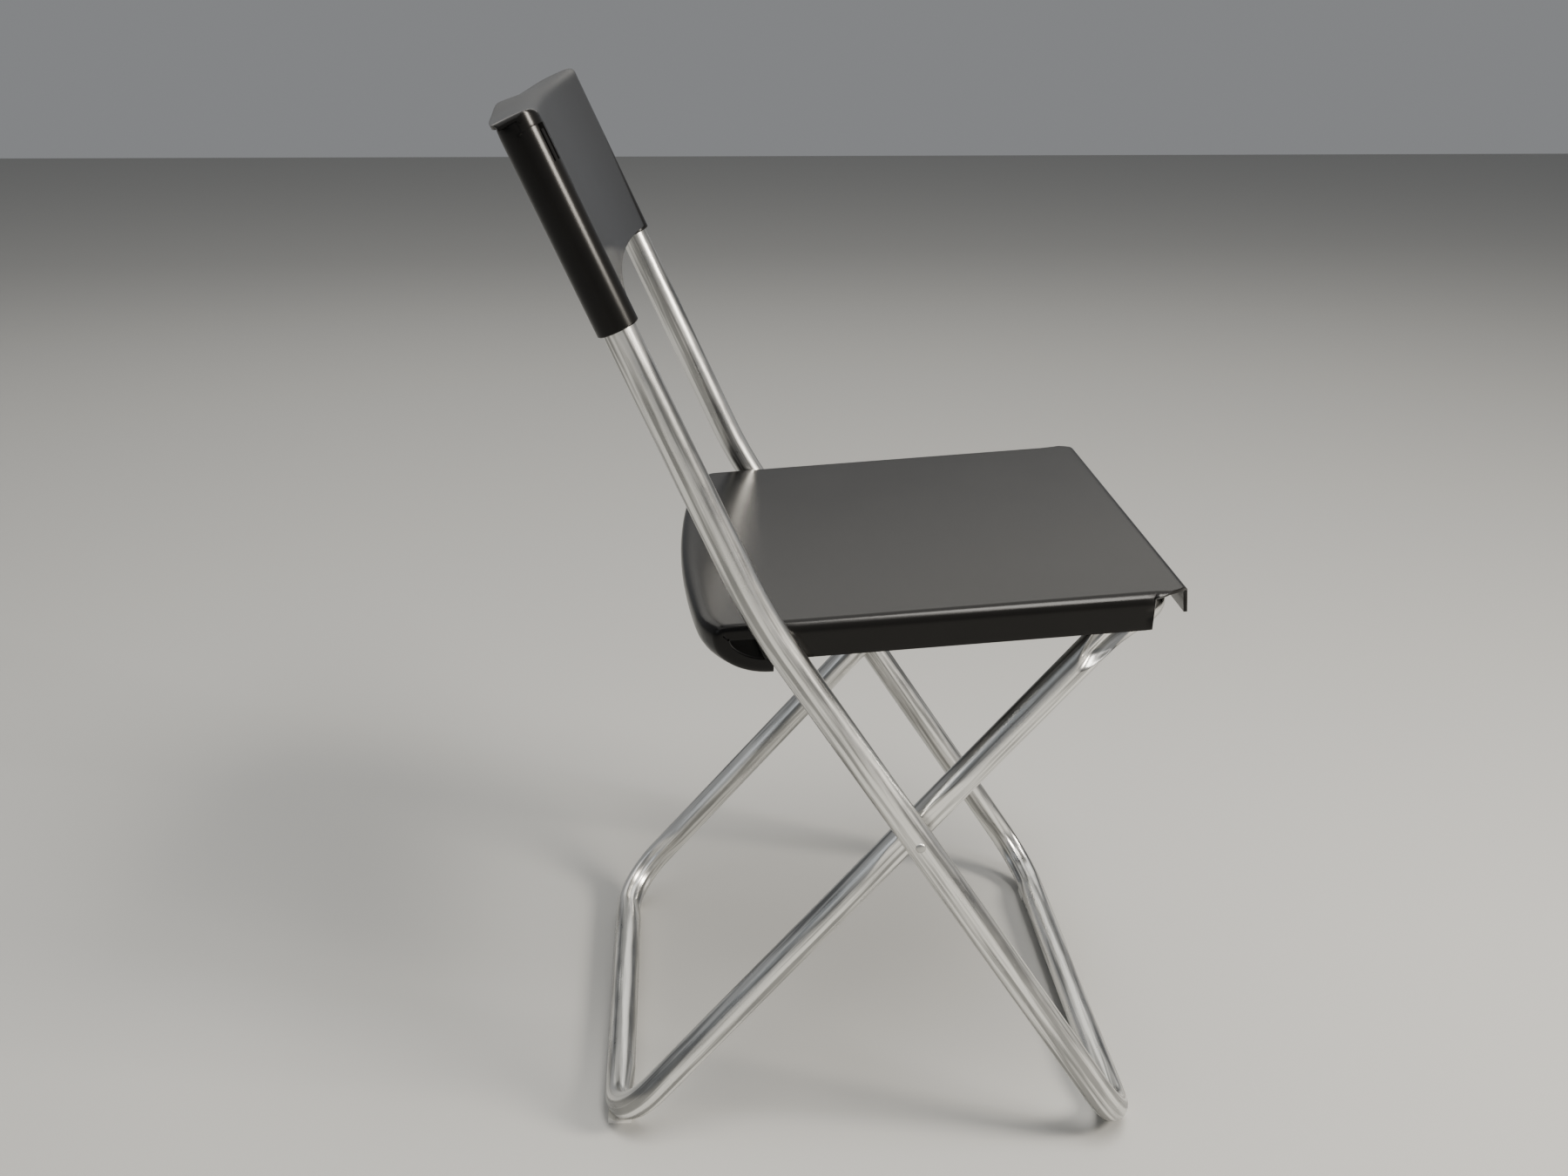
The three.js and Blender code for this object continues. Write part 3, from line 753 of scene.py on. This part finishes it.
def backrest_panel():
    """The panel between the sleeves with the lip on top, which reaches out over the sleeves' ends."""
    line = backrest_line()
    half = [PANEL_HALF * math.sin(math.pi / 2 * k / PANEL_COLUMNS) for k in range(PANEL_COLUMNS + 1)]
    half += SLEEVE_COLUMNS
    across = [-x for x in reversed(half[1:])] + half

    def is_kept(face):
        row, column = divmod(face[0], len(across))
        return line[row][1] >= PANEL_TOP or abs(across[column] + across[column + 1]) / 2 < OUTER_X

    points = [backrest_surface(x, *at) for at in line for x in across]
    faces = [face for face in grid_faces(len(line), len(across)) if is_kept(face)]
    piece = mesh_object("backrest_panel", points, faces, black, "outer_frame",
                        ["backrest_shell"], is_solid=False)
    add_modifier(piece, "SOLIDIFY", thickness=PANEL_THICK * MM, offset=-1, use_quality_normals=True)
    add_modifier(piece, "BEVEL", width=0.6 * MM, segments=3, limit_method="ANGLE", angle_limit=0.9)
    return piece


# The snap tongue stands in a cut that is open round its tip and both edges.
TONGUE_FROM = 107.5
TONGUE_TIP = 127.5
TONGUE_CUT_TO = 131
TONGUE_FRONT = -12.7
TONGUE_REAR = -11.6
TONGUE_CUT_FRONT = -14.5
TONGUE_CUT_REAR = -10.9
TONGUE_CUT_ACROSS = (2, 14)  # from inside the sleeve to clear of its outer side


def tongue_cutter(sign):
    """The U-shaped cut round the snap tongue, from (behind, up) across the sleeve's outer side."""
    outline = [(TONGUE_CUT_REAR, TONGUE_FROM), (TONGUE_REAR, TONGUE_FROM), (TONGUE_REAR, TONGUE_TIP),
               (TONGUE_FRONT, TONGUE_TIP), (TONGUE_FRONT, TONGUE_FROM), (TONGUE_CUT_FRONT, TONGUE_FROM),
               (TONGUE_CUT_FRONT, TONGUE_CUT_TO), (TONGUE_CUT_REAR, TONGUE_CUT_TO)]
    count = len(outline)
    ends = [sign * (OUTER_X + out) for out in TONGUE_CUT_ACROSS]
    points = [back_point(x, *at) * MM for x in ends for at in outline]
    faces = [tuple(range(count)), tuple(range(2 * count - 1, count - 1, -1))]
    faces += [(i, (i + 1) % count, count + (i + 1) % count, count + i) for i in range(count)]
    mesh = bpy.data.meshes.new("tongue_cutter")
    mesh.from_pydata(points, [], faces)
    turn_outwards(mesh)
    return scene_object("tongue_cutter", mesh)


def cut_away(piece, cutter):
    """Takes a closed cutter out of a piece, and the cutter out of the scene."""
    modifier = add_modifier(piece, "BOOLEAN", operation="DIFFERENCE", solver="EXACT")
    modifier.object = cutter
    evaluated = piece.evaluated_get(bpy.context.evaluated_depsgraph_get())
    piece.data = bpy.data.meshes.new_from_object(evaluated)
    piece.modifiers.remove(modifier)
    bpy.data.objects.remove(cutter)
    piece.data.set_sharp_from_angle(angle=math.radians(35))


SLEEVE_BORE = 11.25
BORE_END = 30
NEAR_AXIS = 0.01  # just off the axis, so that the ring keeps its points


def backrest_sleeve(side, sign):
    """A sleeve over an upright's end, with the snap tongue in its upper outer front."""
    profile = [(SLEEVE_BORE, BORE_END), (SLEEVE_BORE, 0.6), (11.7, 0), (13.3, 0), (SLEEVE_R, 0.7)]
    profile += [(SLEEVE_R, up) for up in range(8, 130, 4)]
    profile += [(13.8, 133), (13.5, 137), (12.8, SLEEVE_TOP), (NEAR_AXIS, SLEEVE_TOP), (NEAR_AXIS, BORE_END)]

    def place(outward, behind, up):
        return back_point(sign * (OUTER_X + outward), behind, up)

    piece = turned("backrest_sleeve_" + side, profile, place, black, "outer_frame", sides=96)
    cut_away(piece, tongue_cutter(sign))
    return piece


# ---- Stage

CAMERA_AT = (-1321.3, 128.7, 825.8)
CAMERA_YAW = math.radians(-3.31)
CAMERA_PITCH = math.radians(19.12)
CAMERA_ROLL = math.radians(0.16)
CAMERA_LENS = 41.43


def add_camera():
    camera = scene_object("camera", bpy.data.cameras.new("camera"))
    camera.data.lens = CAMERA_LENS
    camera.data.sensor_width = 36
    camera.data.clip_end = 20
    ahead = Vector((math.cos(CAMERA_YAW) * math.cos(CAMERA_PITCH),
                    math.sin(CAMERA_YAW) * math.cos(CAMERA_PITCH), -math.sin(CAMERA_PITCH)))
    level = Vector((math.sin(CAMERA_YAW), -math.cos(CAMERA_YAW), 0))
    right = level * math.cos(CAMERA_ROLL) + level.cross(ahead) * math.sin(CAMERA_ROLL)
    turn = Matrix((right, right.cross(ahead), -ahead)).transposed().to_4x4()
    camera.matrix_world = Matrix.Translation(chair_point(*CAMERA_AT) * MM) @ turn
    bpy.context.scene.camera = camera


def add_floor():
    bpy.ops.mesh.primitive_plane_add(size=14, location=(0, 0, 0))
    floor = bpy.context.object
    floor.name = "floor"
    pale = plain_material("pale_floor", Base_Color=(0.36, 0.36, 0.349, 1), Roughness=0.75)
    floor.data.materials.append(pale)


def add_world():
    world = bpy.data.worlds.new("world")
    world.use_nodes = True
    background = world.node_tree.nodes["Background"]
    background.inputs["Color"].default_value = (0.9, 0.92, 0.95, 1)
    background.inputs["Strength"].default_value = 0.26
    bpy.context.scene.world = world


def add_light(name, at, aim, size, watts, colour):
    """A rectangular area light at a place, turned towards another."""
    light = scene_object(name, bpy.data.lights.new(name, "AREA"))
    light.data.shape = "RECTANGLE"
    light.data.size, light.data.size_y = size
    light.data.energy = watts
    light.data.color = colour
    light.location = at
    light.rotation_euler = (Vector(aim) - Vector(at)).to_track_quat("-Z", "Y").to_euler()


def add_lights():
    add_light("key", at=(-1.2, -2.3, 1.9), aim=(0, 0, 0.35), size=(0.8, 0.8), watts=140,
              colour=(1.0, 0.93, 0.83))
    add_light("back", at=(2.6, 0.2, 2.2), aim=(0, 0, 0.4), size=(3.4, 1.7), watts=21,
              colour=(1.0, 0.97, 0.9))
    add_light("top", at=(-0.8, -0.4, 2.3), aim=(0, 0, 0.4), size=(0.5, 1.4), watts=56,
              colour=(1.0, 0.96, 0.9))
    add_light("overhead", at=(0, 0.3, 3.6), aim=(0, 0, 0), size=(5.0, 5.0), watts=95,
              colour=(1.0, 0.98, 0.95))
    add_light("fill", at=(-1.6, 2.4, 1.6), aim=(0, 0, 0.4), size=(1.2, 1.2), watts=4,
              colour=(0.88, 0.94, 1.0))


# ---- The chair

SIDES = (("left", 1), ("right", -1))


def dress_cad():
    """The CAD pieces that stay get this scene's materials, and the plastic ones softer edges."""
    kept = {"seat_hinge_rod": zinc}
    for side, _ in SIDES:
        kept["rivet_washer_" + side] = zinc
        for part in ("front_glide_", "rear_glide_", "pivot_spacer_", "hinge_bush_", "seat_buffer_"):
            kept[part + side] = plastic
    for node, material in kept.items():
        piece = frame["nodes"][node]
        piece.data.materials.clear()
        piece.data.materials.append(material)
        if material is plastic:
            add_modifier(piece, "BEVEL", width=0.6 * MM, segments=3, angle_limit=0.9)


outer_frame()
inner_frame()
for side_name, side_sign in SIDES:
    rivet(side_name, side_sign)
seat_shell()
backrest_panel()
for side_name, side_sign in SIDES:
    backrest_sleeve(side_name, side_sign)
dress_cad()
add_camera()
add_floor()
add_world()
add_lights()
